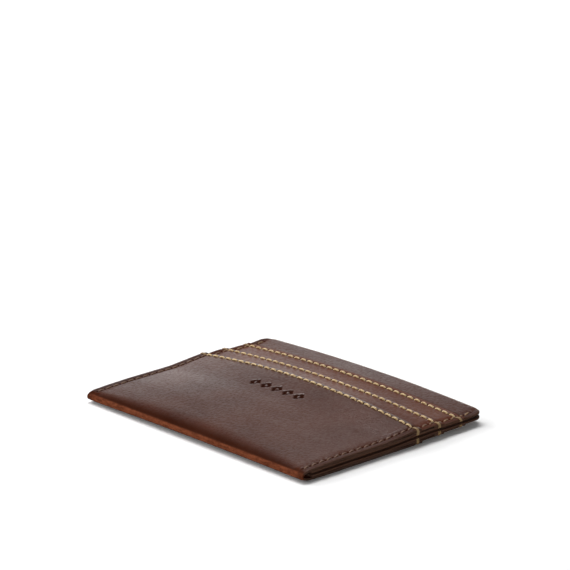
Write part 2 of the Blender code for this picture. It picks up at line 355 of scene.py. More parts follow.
def pressed(half, name, x, y):
    """How far the outer face is pushed in, in millimetres."""
    depth = CHANNEL[half] if name == "outer_wrap" else STRIP_CHANNEL
    total = exposed(name, y) * channel(np.abs(x) - SEAM_X, y, SEAM_HOLES, depth, SEAM_DIMPLE)
    for pocket, carrier in CARRIERS.items():
        line = LINES[pocket]
        if carrier == name:
            total = np.maximum(total, channel(y - line, x, LINE_HOLES, depth, LINE_DIMPLE))
            side = (WIDTH / 2 - np.abs(x)) / NIP_RUN
            total = total + NIP * np.exp(-(((y - line) / NIP_RUN) ** 2) - side**2)
    return total


print(f"stitch lines are {CHANNEL['front']} mm deep, and the {STAMP_COUNT} lozenges {STAMP_DEPTH} mm")

# %% [markdown]
# ## Building a sheet
# A sheet is a grid of stations with an outer and an inner face, closed round its rim. A plane with
# Solidify and Bevel would do for a flat one, but here the gauge has to fade to a rounded edge, so
# both faces are worked out together. Stations crowd together where the shape is fine: at the edges,
# along the stitching and under the stamp.

# %% Grid stations
EDGE_STATIONS, EDGE_BAND = np.array([0.0, 0.03, 0.09, 0.18, 0.32, 0.55]), 0.8
SEAM_BAND, SEAM_SPACING = 1.9, 0.32
INSIDE_X = SEAM_X - SEAM_BAND


def stations(*legs):
    """Stations over legs of (start, end, spacing), one after the other."""
    parts = []
    for start, end, spacing in legs:
        count = max(1, math.ceil((end - start) / spacing))
        parts.append(np.linspace(start, end, count, endpoint=False))
    return np.concatenate([*parts, [legs[-1][1]]])


def crowd(line, low=True, high=True):
    """Adds edge stations inside the ends of a run of stations."""
    start, end = line[0], line[-1]
    inner = line[(line > start + EDGE_BAND * low) & (line < end - EDGE_BAND * high)]
    near = start + EDGE_STATIONS if low else [start]
    far = (end - EDGE_STATIONS)[::-1] if high else [end]
    return np.concatenate([near, inner, far])


def across_stations(*inside):
    """x stations: close together by the seams, and these legs of (start, end, spacing) between."""
    left = (-WIDTH / 2, -INSIDE_X, SEAM_SPACING)
    right = (INSIDE_X, WIDTH / 2, SEAM_SPACING)
    return crowd(stations(left, *inside, right))


SHOWN_ACROSS = across_stations((-INSIDE_X, INSIDE_X, 0.6))
COVERED_ACROSS = across_stations((-INSIDE_X, INSIDE_X, 2.0))
print(len(SHOWN_ACROSS), "stations across a sheet that shows,", len(COVERED_ACROSS), "across a lining")

# %% Edges of a sheet
CORNER_RADIUS = 3.5


def rim_distance(x, y, foot, head):
    """Distance in from the sheet's outline, with its rounded corners."""
    side, top, bottom = WIDTH / 2 - np.abs(x), head - y, y - foot
    near = np.minimum(np.minimum(side, top), bottom)
    if head > HEIGHT - CORNER_RADIUS:
        a, b = CORNER_RADIUS - side, CORNER_RADIUS - top
        corner = CORNER_RADIUS - np.hypot(np.maximum(a, 0.0), np.maximum(b, 0.0))
        near = np.where((a > 0.0) & (b > 0.0), np.minimum(corner, bottom), near)
    return np.maximum(near, 0.0)


def half_width(y, head):
    """Half the width at y, drawn in by the corner radius where the sheet reaches the mouth."""
    if head < HEIGHT - CORNER_RADIUS:
        return np.full_like(y, WIDTH / 2)
    past = np.clip(y - (head - CORNER_RADIUS), 0.0, CORNER_RADIUS)
    return WIDTH / 2 - CORNER_RADIUS + np.sqrt(CORNER_RADIUS**2 - past**2)


def rounding(distance, radius):
    """How far a face drops towards its edge, as a quarter circle of this radius."""
    inside = np.clip(radius - distance, 0.0, None)
    return radius - np.sqrt(np.maximum(radius**2 - inside**2, 0.0))


print(f"the mouth is {2 * half_width(mouth, HEIGHT)[0]:.1f} mm wide between its round corners")

# %% Closing a grid


def link_mesh(name, points, faces, marks, material):
    """An object from points in millimetres and its faces, with named marks on its points."""
    flat = points * MM
    flat[:, 1] += FOLD * MM
    mesh = bpy.data.meshes.new(name)
    mesh.from_pydata(flat.tolist(), [], faces)
    for label, values in marks.items():
        data = np.ascontiguousarray(values, dtype=np.float32)
        mesh.attributes.new(label, "FLOAT", "POINT").data.foreach_set("value", data)
    mesh.materials.append(material)
    mesh.calc_loop_triangles()
    corners = np.array([flat[list(t.vertices)] for t in mesh.loop_triangles])
    volume = np.einsum("ij,ij->i", corners[:, 0], np.cross(corners[:, 1], corners[:, 2])).sum() / 6
    if volume < 0.0:
        mesh.flip_normals()
    mesh.shade_smooth()
    obj = bpy.data.objects.new(name, mesh)
    bpy.context.scene.collection.objects.link(obj)
    return obj


def closed_grid(name, outer, inner, marks, material):
    """A closed sheet from its two grids of points. Each mark is a grid for the outer face and one
    for the inner."""
    rows, columns = outer.shape[:2]
    index = np.arange(rows * columns).reshape(rows, columns)
    quads = np.stack([index[:-1, :-1], index[:-1, 1:], index[1:, 1:], index[1:, :-1]], axis=-1)
    quads = quads.reshape(-1, 4)
    ring = np.concatenate([index[0, :-1], index[:-1, -1], index[-1, :0:-1], index[:0:-1, 0]])
    after, shift = np.roll(ring, -1), rows * columns
    rim = np.stack([ring, ring + shift, after + shift, after], axis=-1)
    faces = np.concatenate([quads[:, ::-1], quads + shift, rim]).tolist()
    points = np.concatenate([outer.reshape(-1, 3), inner.reshape(-1, 3)])
    flat_marks = {label: np.concatenate([a.ravel(), b.ravel()]) for label, (a, b) in marks.items()}
    return link_mesh(name, points, faces, flat_marks, material)


def in_place(obj, slot, *nodes):
    """Hangs the piece on the root body, so it doesn't move, and hides the nodes it stands for. slot is
    not used.
    """
    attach(obj, "root")
    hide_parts(*nodes)
    print(f"{obj.name}: {len(obj.data.polygons)} faces")
    return obj


# %% [markdown]
# ## Colours, and one helper for shader nodes
# A maker names a colour from a swatch, so colours are sRGB hex values here, and one function turns
# them to the linear values that shaders add and multiply. One more adds any shader node with its
# settings and its links, so a material below reads from top to bottom as a list of layers.

# %% Material helpers


def linear(code):
    """Linear RGBA from an sRGB hex code."""
    values = [int(code[i : i + 2], 16) / 255 for i in (1, 3, 5)]
    return (*[v / 12.92 if v <= 0.04045 else ((v + 0.055) / 1.055) ** 2.4 for v in values], 1.0)


def add(tree, kind, inputs, out=0, **settings):
    """Adds a shader node and gives back one of its outputs. inputs maps a socket's name or number
    to a value, to a hex colour or to another node's output."""
    node = tree.nodes.new("ShaderNode" + kind)
    for key, value in settings.items():
        setattr(node, key, value)
    for key, value in inputs.items():
        if isinstance(value, bpy.types.NodeSocket):
            tree.links.new(value, node.inputs[key])
        else:
            node.inputs[key].default_value = linear(value) if isinstance(value, str) else value
    return node.outputs[out]


def start_material(name):
    """A material with its node tree, its Principled shader and object coordinates in millimetres."""
    material = bpy.data.materials.new(name)
    material.use_nodes = True
    tree = material.node_tree
    metres = add(tree, "TexCoord", {}, out="Object")
    place = add(tree, "VectorMath", {0: metres, "Scale": 1 / MM}, operation="SCALE")
    return material, tree, tree.nodes["Principled BSDF"], place


print("mid grey #808080 is", round(linear("#808080")[0], 3), "in linear light")

# %% [markdown]
# ## Waxed pull-up leather
# Pull-up leather is dyed right through and stuffed with oil and wax. It looks dark and satin where
# it lies flat, and turns to warm rust where it is bent hard, because the wax moves apart. So the
# colour starts as a deep red-brown with slow clouds in it, and a mark on the mesh, strong round the
# nose of the fold, moves it to rust. The raw sides are sealed with a greyer edge paint. The wax is
# a clear coat of its own, with an index near 1.5 and a roughness near 0.3, and it does all the
# mirroring: the dyed fibres under it have no gloss. It is whole on the flats and gone where the
# leather is bent, stitched or rubbed, so another mark thins it there. The grain is pebbles about
# 0.85 mm across, coarser than the real half millimetre so that it shows, with finer pores in it.

# %% Patterns in the leather
PEBBLE_MM, PORE_MM, CLOUD_MM, CRACK_MM, SMUDGE_MM = 0.85, 0.42, 18.0, 1.1, 7.0


def leather_patterns(tree, place):
    """Slow clouds of dye, rubbed smudges, cracks along the fold and the grain."""
    clouds = add(tree, "TexNoise", {"Vector": place, "Scale": 1 / CLOUD_MM, "Detail": 4.0}, out="Fac")
    along = add(tree, "VectorMath", {0: place, 1: (0.22, 1.0, 1.0)}, operation="MULTIPLY")
    smudges = add(tree, "TexNoise", {"Vector": along, "Scale": 1 / SMUDGE_MM, "Detail": 6.0,
                                     "Roughness": 0.62, "Distortion": 0.6}, out="Fac")
    along_fold = add(tree, "VectorMath", {0: place, 1: (0.45, 1.0, 1.0)}, operation="MULTIPLY")
    cracks = add(tree, "TexNoise", {"Vector": along_fold, "Scale": 1 / CRACK_MM, "Detail": 6.0,
                                    "Roughness": 0.8}, out="Fac")
    edges = add(tree, "TexVoronoi", {"Vector": place, "Scale": 1 / PEBBLE_MM}, feature="SMOOTH_F1")
    pores = add(tree, "TexNoise", {"Vector": place, "Scale": 1 / PORE_MM, "Detail": 2.0}, out="Fac")
    grain = add(tree, "Math", {0: pores, 1: 0.8, 2: edges}, operation="MULTIPLY_ADD")
    return clouds, smudges, cracks, grain


print(f"grain {PEBBLE_MM} mm, pores {PORE_MM} mm, clouds {CLOUD_MM} mm")

# %% Colour of the leather


def leather_colour(tree, clouds, smudges, cracks, bent, shades):
    """Dyed leather: clouds, smudges, rust where bent, dark where pressed and in painted shade, rim paint.
    """
    cloud_share = add(tree, "MapRange", {"Value": clouds, "From Min": 0.35, "From Max": 0.68})
    smudge_share = add(tree, "MapRange", {"Value": smudges, "From Min": 0.48, "From Max": 0.72,
                                          "To Max": 0.55})
    crack_share = add(tree, "MapRange", {"Value": cracks, "From Min": 0.40, "From Max": 0.58,
                                         "To Min": 0.25, "To Max": 1.0})
    # The press mark holds pressed stains, and also painted shade by the fold and under each pocket's edge
    press = add(tree, "Attribute", {}, out="Fac", attribute_name="press")
    rim = add(tree, "Attribute", {}, out="Fac", attribute_name="rim")
    bent_share = add(tree, "Math", {0: bent, 1: crack_share}, operation="MULTIPLY")
    press_and_shade_share = add(tree, "Math", {0: press, 1: 0.8}, operation="MULTIPLY")
    rim_share = add(tree, "Math", {0: rim, 1: 0.8}, operation="MULTIPLY")
    colour = shades["deep"]
    for share, shade in (
        (cloud_share, "warm"),
        (smudge_share, "warm"),
        (bent_share, "rust"),
        (press_and_shade_share, "burnt"),
        (rim_share, "painted"),
    ):
        colour = add(tree, "Mix", {0: share, 6: colour, 7: shades[shade]}, out=2, data_type="RGBA")
    return colour


# %% Wax on the leather


def wax_coat(tree, smudges, grain):
    """How much wax is left to shine: patchy with the smudges, and less in the grain's hollows."""
    wax = add(tree, "Attribute", {}, out="Fac", attribute_name="wax")
    patchy = add(tree, "MapRange", {"Value": smudges, "From Min": 0.30, "From Max": 0.70,
                                    "To Min": 0.80, "To Max": 1.0})
    coat = add(tree, "Math", {0: wax, 1: patchy}, operation="MULTIPLY")
    speck = add(tree, "MapRange", {"Value": grain, "From Min": 0.35, "From Max": 0.95,
                                   "To Min": 0.55, "To Max": 1.0})
    return add(tree, "Math", {0: coat, 1: speck}, operation="MULTIPLY")


# %% Waxed leather
LEATHER_IOR, WAX_ROUGHNESS = 1.5, 0.30
GRAIN_DEPTH = 0.00010


def leather_material(name, **shades):
    """Waxed leather. The mesh marks bent, rim, press and wax say where it is bent, cut, pressed
    and still waxed."""
    material, tree, shader, place = start_material(name)
    clouds, smudges, cracks, grain = leather_patterns(tree, place)
    bent = add(tree, "Attribute", {}, out="Fac", attribute_name="bent")
    cracked = add(tree, "Math", {0: bent, 1: cracks}, operation="MULTIPLY")
    height = add(tree, "Math", {0: cracked, 1: 0.9, 2: grain}, operation="MULTIPLY_ADD")
    bump = add(tree, "Bump", {"Height": height, "Strength": 0.8, "Distance": GRAIN_DEPTH})
    rough = add(tree, "Math", {0: grain, 1: 0.10, 2: 0.50}, operation="MULTIPLY_ADD")
    colour = leather_colour(tree, clouds, smudges, cracks, bent, shades)
    tree.links.new(colour, shader.inputs["Base Color"])
    tree.links.new(rough, shader.inputs["Roughness"])
    tree.links.new(wax_coat(tree, smudges, grain), shader.inputs["Coat Weight"])
    tree.links.new(bump, shader.inputs["Normal"])
    tree.links.new(bump, shader.inputs["Coat Normal"])
    shader.inputs["Coat Roughness"].default_value = WAX_ROUGHNESS
    shader.inputs["Coat IOR"].default_value = LEATHER_IOR
    shader.inputs["IOR"].default_value = LEATHER_IOR
    shader.inputs["Specular IOR Level"].default_value = 0.0
    return material


EDGE_PAINT, BENT_RUST = "#523C31", "#74402A"
# The darkest colour is for pressed leather, and also for the shade painted by the fold and under each
# pocket's edge
WRAP_LEATHER = leather_material(
    "waxed_pull_up_leather",
    deep="#3B190C", warm="#472315", rust=BENT_RUST, burnt="#200D07", painted=EDGE_PAINT,
)
STRIP_LEATHER = leather_material(
    "waxed_strip_leather",
    deep="#471F10", warm="#572C18", rust=BENT_RUST, burnt="#240F08", painted=EDGE_PAINT,
)
print("leathers:", WRAP_LEATHER.name, "and", STRIP_LEATHER.name)

# %% [markdown]
# ## Lining cloth
# The pockets are lined with a fine plain-weave cotton in dark brown. Its threads are about 0.3 mm
# apart, so two sets of waves at right angles make the weave. Cotton scatters light from loose
# fibres, so it looks matt, with hardly any gloss.

# %% Lining cloth
WEAVE_MM = 0.32
# Distance between two waves of the Wave texture at a scale of 1
WAVE_AT_ONE = math.pi / 10


def cloth_material(name, dark, light, painted):
    """Plain-weave cotton, with edge paint where the mesh marks its rim."""
    material, tree, shader, place = start_material(name)
    waves = {"Vector": place, "Scale": WAVE_AT_ONE / WEAVE_MM, "Distortion": 0.4, "Detail": 1.0}
    warp = add(tree, "TexWave", waves, out="Fac", bands_direction="X")
    weft = add(tree, "TexWave", waves, out="Fac", bands_direction="Y")
    weave = add(tree, "Math", {0: warp, 1: weft}, operation="MULTIPLY")
    slub = add(tree, "TexNoise", {"Vector": place, "Scale": 0.6, "Detail": 3.0}, out="Fac")
    colour = add(tree, "Mix", {0: weave, 6: dark, 7: light}, out=2, data_type="RGBA")
    slub_share = add(tree, "Math", {0: slub, 1: 0.35}, operation="MULTIPLY")
    colour = add(tree, "Mix", {0: slub_share, 6: colour, 7: dark}, out=2, data_type="RGBA")
    rim = add(tree, "Attribute", {}, out="Fac", attribute_name="rim")
    colour = add(tree, "Mix", {0: rim, 6: colour, 7: painted}, out=2, data_type="RGBA")
    tree.links.new(colour, shader.inputs["Base Color"])
    bump = add(tree, "Bump", {"Height": weave, "Strength": 0.5, "Distance": 0.00005})
    tree.links.new(bump, shader.inputs["Normal"])
    shader.inputs["Roughness"].default_value = 0.85
    shader.inputs["Specular IOR Level"].default_value = 0.1
    return material


CLOTH = cloth_material("plain_weave_lining", "#2A160D", "#4A2D1D", EDGE_PAINT)
print(f"{CLOTH.name}: threads {WEAVE_MM} mm apart")

# %% [markdown]
# ## The leather sheets
# Each flat sheet is made by one function for both halves. Where the next pocket covers it, its
# stations are wide apart, because nothing fine can be seen there. Four marks go on the mesh for the
# finish to read: `rim` on cut edges; `press` where leather is pushed in and stained dark, where it is
# darker past the seams, and where shade is painted by the fold and under a pocket's edge; `wax` for
# what is left of the wax; and `bent`, a little stronger at a pocket's mouth, which fingers push open
# and polish, and where a painted highlight runs along the mouth's edge.

# %% Wear and stain
# Amounts are shares from 0 to 1, and bands are in millimetres
STRIP_WAX, LEAST_WAX = 0.80, 0.02
MARGIN_BARE, MARGIN_BAND = 0.50, (SEAM_X - 2.8, SEAM_X - 0.8)
WAX_BY_FOLD, FOLD_REACH_AT_SEAMS = (0.9, 9.0), 0.28
# A sheet is darker just past the next pocket's edge: painted shadow of the step
LIP_PAINTED_SHADOW, LIP_BAND = 0.75, (0.1, 1.5)
RIM_BAND = (0.10, 0.40)
# Darker past the seams
MARGIN_DARKENING, DARKENING_BAND = 0.45, (SEAM_X - 0.3, SEAM_X + 0.5)
# Painted shade on the wrap, just above the rust band at the fold
FOLD_PAINTED_SHADE, PAINTED_SHADE_BY_FOLD = 0.65, (1.5, 5.5)
PRESS_STAINS, PRESS_CLEARS = (0.03, 0.26), (0.02, 0.14)
WAX_LOST = {"press": 0.97, "rim": 0.7, "lip": 0.8}
INNER_WAX = 0.3


def fold_reach(x):
    """How far the fold's wear and painted shade reach: least by the seams, which hold the leather still.
    """
    return FOLD_REACH_AT_SEAMS + (1.0 - FOLD_REACH_AT_SEAMS) * swell(x) ** 0.5


def waxed(name, x, y):
    """How much wax is left: less on the strips, the margins past the seams and by the fold."""
    whole = STRIP_WAX if "strip" in name else 1.0
    margin = smooth(*MARGIN_BAND, np.abs(x))
    bend = 1.0 - smooth(*WAX_BY_FOLD, y / fold_reach(x))
    return np.clip(whole - MARGIN_BARE * margin - bend, LEAST_WAX, 1.0)


def under_lip(name, y):
    """1 where a sheet comes out from under the next one's edge, fading to 0 a little further on."""
    head = next_head(name)
    return np.zeros_like(y) if head is None else 1.0 - smooth(*LIP_BAND, y - head)


def stains_and_shade(name, x, y, press, bent):
    """How dark the leather is: pressed stains, darker margins, and painted shade by the fold and lips."""
    margin = MARGIN_DARKENING * smooth(*DARKENING_BAND, np.abs(x))
    # Painted shade above the fold's rust band, reaching furthest where the front bows most
    fold_shade = FOLD_PAINTED_SHADE * (1.0 - smooth(*PAINTED_SHADE_BY_FOLD, y / fold_reach(x))) * (1.0 - bent)
    fold_shade = fold_shade * (name == "outer_wrap")
    dark = np.maximum(smooth(*PRESS_STAINS, press), np.maximum(margin, fold_shade))
    # Painted shadow just past the next pocket's edge
    return np.maximum(dark, LIP_PAINTED_SHADOW * under_lip(name, y))


def marks_for(name, x, y, outline, press, bent):
    """The marks that the leather's finish reads, for both faces."""
    rim = 1.0 - smooth(*RIM_BAND, outline)
    none = np.zeros_like(rim)
    wax = waxed(name, x, y) * (1.0 - WAX_LOST["press"] * smooth(*PRESS_CLEARS, press))
    wax = wax * (1.0 - WAX_LOST["rim"] * rim) * (1.0 - WAX_LOST["lip"] * under_lip(name, y))
    cut, dark = rim * (1.0 - bent), stains_and_shade(name, x, y, press, bent)
    return {"rim": (cut, cut), "press": (dark, none), "bent": (bent, none), "wax": (wax, wax * INNER_WAX)}


at = np.array([5.0, 10.0])
print("wax left 5 and 10 mm up from the fold:", np.round(waxed("outer_wrap", np.zeros(2), at), 2))

# %% One flat sheet
EDGE_ROUND, HIDDEN_ROUND = 0.30, 0.03
# A pocket's mouth turns lighter: wear, and a painted highlight along its edge
MOUTH_WEAR_AND_HIGHLIGHT, MOUTH_BAND = 0.45, (0.2, 1.2)
LINING_RECESS = 0.35
BURNISHED_RUN = 0.5


def burnished(x):
    """How far a face closes its gap at the raw side, where the layers are rubbed into one edge."""
    return (AIR / 2 + HIDDEN_ROUND) * (1.0 - smooth(0.0, BURNISHED_RUN, WIDTH / 2 - np.abs(x)))


def flat_sheet(half, name, xs, ys, material, slot):
    """One sheet that isn't folded."""
    sheet, out = SHEETS[name], OUT[half]
    grid_x, y = np.meshgrid(xs, ys)
    recess = LINING_RECESS if name == "main_lining" else 0.0
    x = grid_x * (half_width(y, sheet.head) - recess) / (WIDTH / 2)
    shown = exposed(name, y)
    outline = rim_distance(x, y, sheet.foot, sheet.head)
    corner_drop = HIDDEN_ROUND + (min(EDGE_ROUND, sheet.gauge * 0.55) - HIDDEN_ROUND) * shown
    press = pressed(half, name, x, y)
    outer = face_height(half, name, x, y, 1) - out * (rounding(outline, corner_drop) + press)
    inner = face_height(half, name, x, y, -1) + out * rounding(outline, HIDDEN_ROUND)
    fused = burnished(x) * (name != "main_lining")
    outer, inner = outer + out * fused * (1.0 - shown), inner - out * fused
    points = [np.stack([x, y, z], axis=-1) for z in (outer, inner)]
    # Lighter at the mouth: wear, and a painted highlight along the edge
    worn = MOUTH_WEAR_AND_HIGHLIGHT * (1.0 - smooth(*MOUTH_BAND, sheet.head - y)) * shown
    marks = marks_for(name, x, y, outline, press, worn)
    obj = closed_grid(f"{half}_{name}_piece", *points, marks, material)
    return in_place(obj, slot, f"{half}_{name}")


# %% Strips and body panels
LINE_BAND, LINE_SPACING = 1.4, 0.25


def leather_rows(sheet, line, shown_from):
    """y stations of a strip or panel: close where it shows, wide where it is covered."""
    legs = [(sheet.foot, shown_from - 1.0, 1.6)]
    if line:
        legs += [(shown_from - 1.0, line - LINE_BAND, 0.6), (line - LINE_BAND, sheet.head, LINE_SPACING)]
    else:
        legs += [(shown_from - 1.0, sheet.head, 0.5)]
    return crowd(stations(*legs))


for half in ("front", "back"):
    for name, pocket, cover in (
        ("body_panel", None, "upper_slot_strip"),
        ("upper_slot_strip", "upper", "middle_slot_strip"),
        ("middle_slot_strip", "middle", "outer_wrap"),
    ):
        rows = leather_rows(SHEETS[name], LINES.get(pocket), SHEETS[cover].head)
        slot = "panel_leather" if name == "body_panel" else "strip_leather"
        finish = WRAP_LEATHER if name == "body_panel" else STRIP_LEATHER
        flat_sheet(half, name, SHOWN_ACROSS, rows, finish, slot)

# %% Linings and pocket tails
for half in ("front", "back"):
    for name, backed_by in (
        ("main_lining", "body_panel"),
        ("upper_pocket_tail", "upper_slot_strip"),
        ("middle_pocket_tail", "middle_slot_strip"),
    ):
        sheet = SHEETS[name]
        rows = crowd(stations((sheet.foot, sheet.head, 1.5)))
        piece = flat_sheet(half, name, COVERED_ACROSS, rows, CLOTH, "lining_fabric")

# %% [markdown]
# ## The folded wrap
# One grid runs from the front pocket's mouth down to the nose of the fold and up the back to the
# other mouth, so the leather is one unbroken skin, as it is on the real piece. The outer face comes
# first, and the inner face is the outer one moved in by the gauge along its own normal, which keeps
# the leather equally thick round the bend. Fine creases run along the fold.

# %% Rows of the wrap
NOSE_STEPS = {"front": 26, "back": 12}
STAMP_BAND_X, STAMP_BAND_Y = 14.0, 3.2


def full_reach(half):
    """How far the rounding reaches in the middle of the width."""
    return REACH_AT_SIDES[half] + REACH_EXTRA[half]


def nose_rows(half):
    """y stations over the rounded part, from the nose up, even in angle."""
    turn = np.linspace(0.0, math.pi / 2, NOSE_STEPS[half] + 1)
    return full_reach(half) * (1.0 - np.cos(turn) ** (2.0 / ROUND_POWER[half]))


def wrap_rows(half):
    """y stations of one face of the wrap, from the nose to the mouth."""
    line, head = LINES["lower"], SHEETS["outer_wrap"].head
    low, high = STAMP_Y - STAMP_BAND_Y, STAMP_Y + STAMP_BAND_Y
    if half == "front":
        legs = [(full_reach(half), low, 0.7), (low, high, 0.28), (high, line - LINE_BAND, 0.6)]
    else:
        legs = [(full_reach(half), line - LINE_BAND, 1.1)]
    legs += [(line - LINE_BAND, head, LINE_SPACING)]
    return np.concatenate([nose_rows(half)[:-1], crowd(stations(*legs), low=False)])


print(len(wrap_rows("front")), "rows up the front of the wrap and", len(wrap_rows("back")), "up its back")

# %% The wrap
BENT_FROM, BENT_TO, BENT_WITHIN = 0.44, 0.70, (2.0, 6.0)
CREASE_DEPTH, CREASE_WITHIN, CREASE_SEED = 0.035, (0.5, 7.0), 8.0
CREASE_LENGTH, CREASE_PATCH = 4.0, 1.1
NO_FOOT = -9.0


def wrap_face(half, xs):
    """One side of the wrap, from the nose up: its outer face before relief, and the relief."""
    x, y = np.meshgrid(xs, wrap_rows(half))
    z = face_height(half, "outer_wrap", x, y, 1)
    press = pressed(half, "outer_wrap", x, y)
    if half == "front":
        press = np.maximum(press, stamp(x, y) * STAMP_DEPTH)
    return np.stack([x, y, z], axis=-1), press


def wrap_grid(xs):
    """The whole wrap: its outer points, its inner points and its marks."""
    front, front_press = wrap_face("front", xs)
    back, back_press = wrap_face("back", xs)
    outer = np.concatenate([front[::-1], back[1:]])
    press = np.concatenate([front_press[::-1], back_press[1:]])
    slope_y, slope_z = np.gradient(outer[..., 1], axis=0), np.gradient(outer[..., 2], axis=0)
    length = np.hypot(slope_y, slope_z)
    normal = np.stack([np.zeros_like(length), slope_z / length, -slope_y / length], axis=-1)
    x, y, z = outer[..., 0], outer[..., 1], outer[..., 2]
    outline = rim_distance(x, y, NO_FOOT, SHEETS["outer_wrap"].head)
    bent = smooth(BENT_FROM, BENT_TO, np.abs(slope_z) / length) * (1.0 - smooth(*BENT_WITHIN, y))
    creases = wander(x / CREASE_LENGTH, y * 1.5 + z, CREASE_PATCH, CREASE_SEED)
    crease = CREASE_DEPTH * (1.0 - smooth(*CREASE_WITHIN, y)) * creases
    depth = press + crease + rounding(outline, EDGE_ROUND)
    gauge = SHEETS["outer_wrap"].gauge - rounding(outline, HIDDEN_ROUND)
    inner = outer - normal * gauge[..., None]
    marks = marks_for("outer_wrap", x, y, outline, press, bent)
    return outer - normal * depth[..., None], inner - normal * burnished(x)[..., None], marks


stamp_left, stamp_right = STAMP_X - STAMP_BAND_X, STAMP_X + STAMP_BAND_X
xs = across_stations(
    (-INSIDE_X, stamp_left, 0.6), (stamp_left, stamp_right, 0.32), (stamp_right, INSIDE_X, 0.6)
)
wrap = closed_grid("outer_wrap_piece", *wrap_grid(xs), WRAP_LEATHER)
in_place(wrap, "wrap_leather", "outer_wrap")

# %% [markdown]
# ## Waxed thread
# The thread is golden tan polyester, three plies twisted together and drawn through wax, with a
# typical index of 1.5 and a satin surface. The plies are real shape here: the strand's section has
# three lobes that turn as it runs, and the hollows between them are darkened as painted shade. The
# side seams have the same kind of thread in a browner colour, browner still towards the fold.

# %% Thread finishes


def thread_material(name, shade, light, worn):
    """Waxed polyester thread: groove paints shade between the plies, and the other mark browns it."""
    material, tree, shader, place = start_material(name)
    fuzz = add(tree, "TexNoise", {"Vector": place, "Scale": 2.2, "Detail": 4.0}, out="Fac")
    share = add(tree, "MapRange", {"Value": fuzz, "From Min": 0.32, "From Max": 0.58})
    colour = add(tree, "Mix", {0: share, 6: shade, 7: light}, out=2, data_type="RGBA")
    browned = add(tree, "Attribute", {}, out="Fac", attribute_name="browned")
    colour = add(tree, "Mix", {0: browned, 6: colour, 7: worn}, out=2, data_type="RGBA")
    # Painted shade in the hollows between the plies
    groove = add(tree, "Attribute", {}, out="Fac", attribute_name="groove")
    colour = add(tree, "Mix", {0: groove, 6: colour, 7: shade}, out=2, data_type="RGBA")
    tree.links.new(colour, shader.inputs["Base Color"])
    bump = add(tree, "Bump", {"Height": fuzz, "Strength": 0.3, "Distance": 0.00004})
    tree.links.new(bump, shader.inputs["Normal"])
    shader.inputs["Roughness"].default_value = 0.60
    shader.inputs["IOR"].default_value = 1.5
    shader.inputs["Specular IOR Level"].default_value = 0.25
    return material


GOLD_THREAD = thread_material("golden_waxed_thread", "#A27E50", "#E6D0A4", "#4E3B22")
SEAM_THREAD = thread_material("brown_seam_thread", "#5E4434", "#AC8D68", "#6C5145")
print("threads:", GOLD_THREAD.name, "and", SEAM_THREAD.name)

# %% Strands
THREAD_RADIUS, SEAM_THREAD_RADIUS = 0.37, 0.29
PLIES, LAY_MM = 3, 1.6
PLY_DEPTH, GROOVE_SHADE = 0.16, 0.8
SIDES = 12


def strand(path, up, radius, browned=0.0, flat=0.8):
    """Rings of a twisted strand along path, with up as the way off the leather at each point, and
    its two marks."""
    path, up = np.asarray(path), np.asarray(up)
    ahead = np.gradient(path, axis=0)
    ahead /= np.linalg.norm(ahead, axis=1, keepdims=True)
    side = np.cross(ahead, up)
    side /= np.linalg.norm(side, axis=1, keepdims=True)
    top = np.cross(side, ahead)
    run = np.concatenate([[0.0], np.cumsum(np.linalg.norm(np.diff(path, axis=0), axis=1))])
    angle = np.linspace(0.0, 2 * math.pi, SIDES, endpoint=False)
    lobe = np.abs(np.cos((angle[None, :] - 2 * math.pi * run[:, None] / LAY_MM) * PLIES / 2))
    reach = radius * (1.0 - PLY_DEPTH + PLY_DEPTH * lobe)
    rings = path[:, None] + (np.cos(angle) * reach)[..., None] * side[:, None]
    rings = rings + (np.sin(angle) * reach * flat)[..., None] * top[:, None]
    # The groove mark is painted shade for the hollows between the plies
    return rings, GROOVE_SHADE * (1.0 - lobe), np.full(lobe.shape, browned)


def thread_object(name, strands, material, slot, node):
    """One object from many strands, each closed at both ends."""
    rings, groove_shades, rubbed = zip(*strands)
    faces, start = [], 0
    for ring in rings:
        index = start + np.arange(len(ring) * SIDES).reshape(len(ring), SIDES)
        after = np.roll(index, -1, axis=1)
        skin = np.stack([index[:-1], index[1:], after[1:], after[:-1]], axis=-1)
        faces += skin.reshape(-1, 4).tolist()
        faces += [index[0].tolist(), index[-1][::-1].tolist()]
        start += index.size
    points = np.concatenate([ring.reshape(-1, 3) for ring in rings])
    marks = {
        "groove": np.concatenate([groove.ravel() for groove in groove_shades]),
        "browned": np.concatenate([share.ravel() for share in rubbed]),
    }
    return in_place(link_mesh(name, points, faces, marks, material), slot, node)


for place, radius in (("slot lines", THREAD_RADIUS), ("side seams", SEAM_THREAD_RADIUS)):
    print(f"{place}: thread {2 * radius:.2f} mm thick, {PLIES} plies")

# %% [markdown]
# ## Stitches
# Each stitch comes out of one hole, lies along the line and goes down the next, so it is a short
# arch that ends under the surface. Saddle stitches lean a little, because both needles share a
# slanted hole. On the back of the wrap the stitches are sunk flush, since the holder lies on them.

# %% One stitch
DIVE = 0.45
STAND, SUNK_STAND = 0.16, -0.30
LINE_LEAN, SEAM_LEAN = 0.10, 0.26
HOLE_SHARE = 0.15
ARCH_POINTS, ARCH_POWER = 13, 0.42


def stand_for(half, name):
    """How high the thread's middle lies over the sheet's face."""
    return SUNK_STAND if (half, name) == ("back", "outer_wrap") else STAND


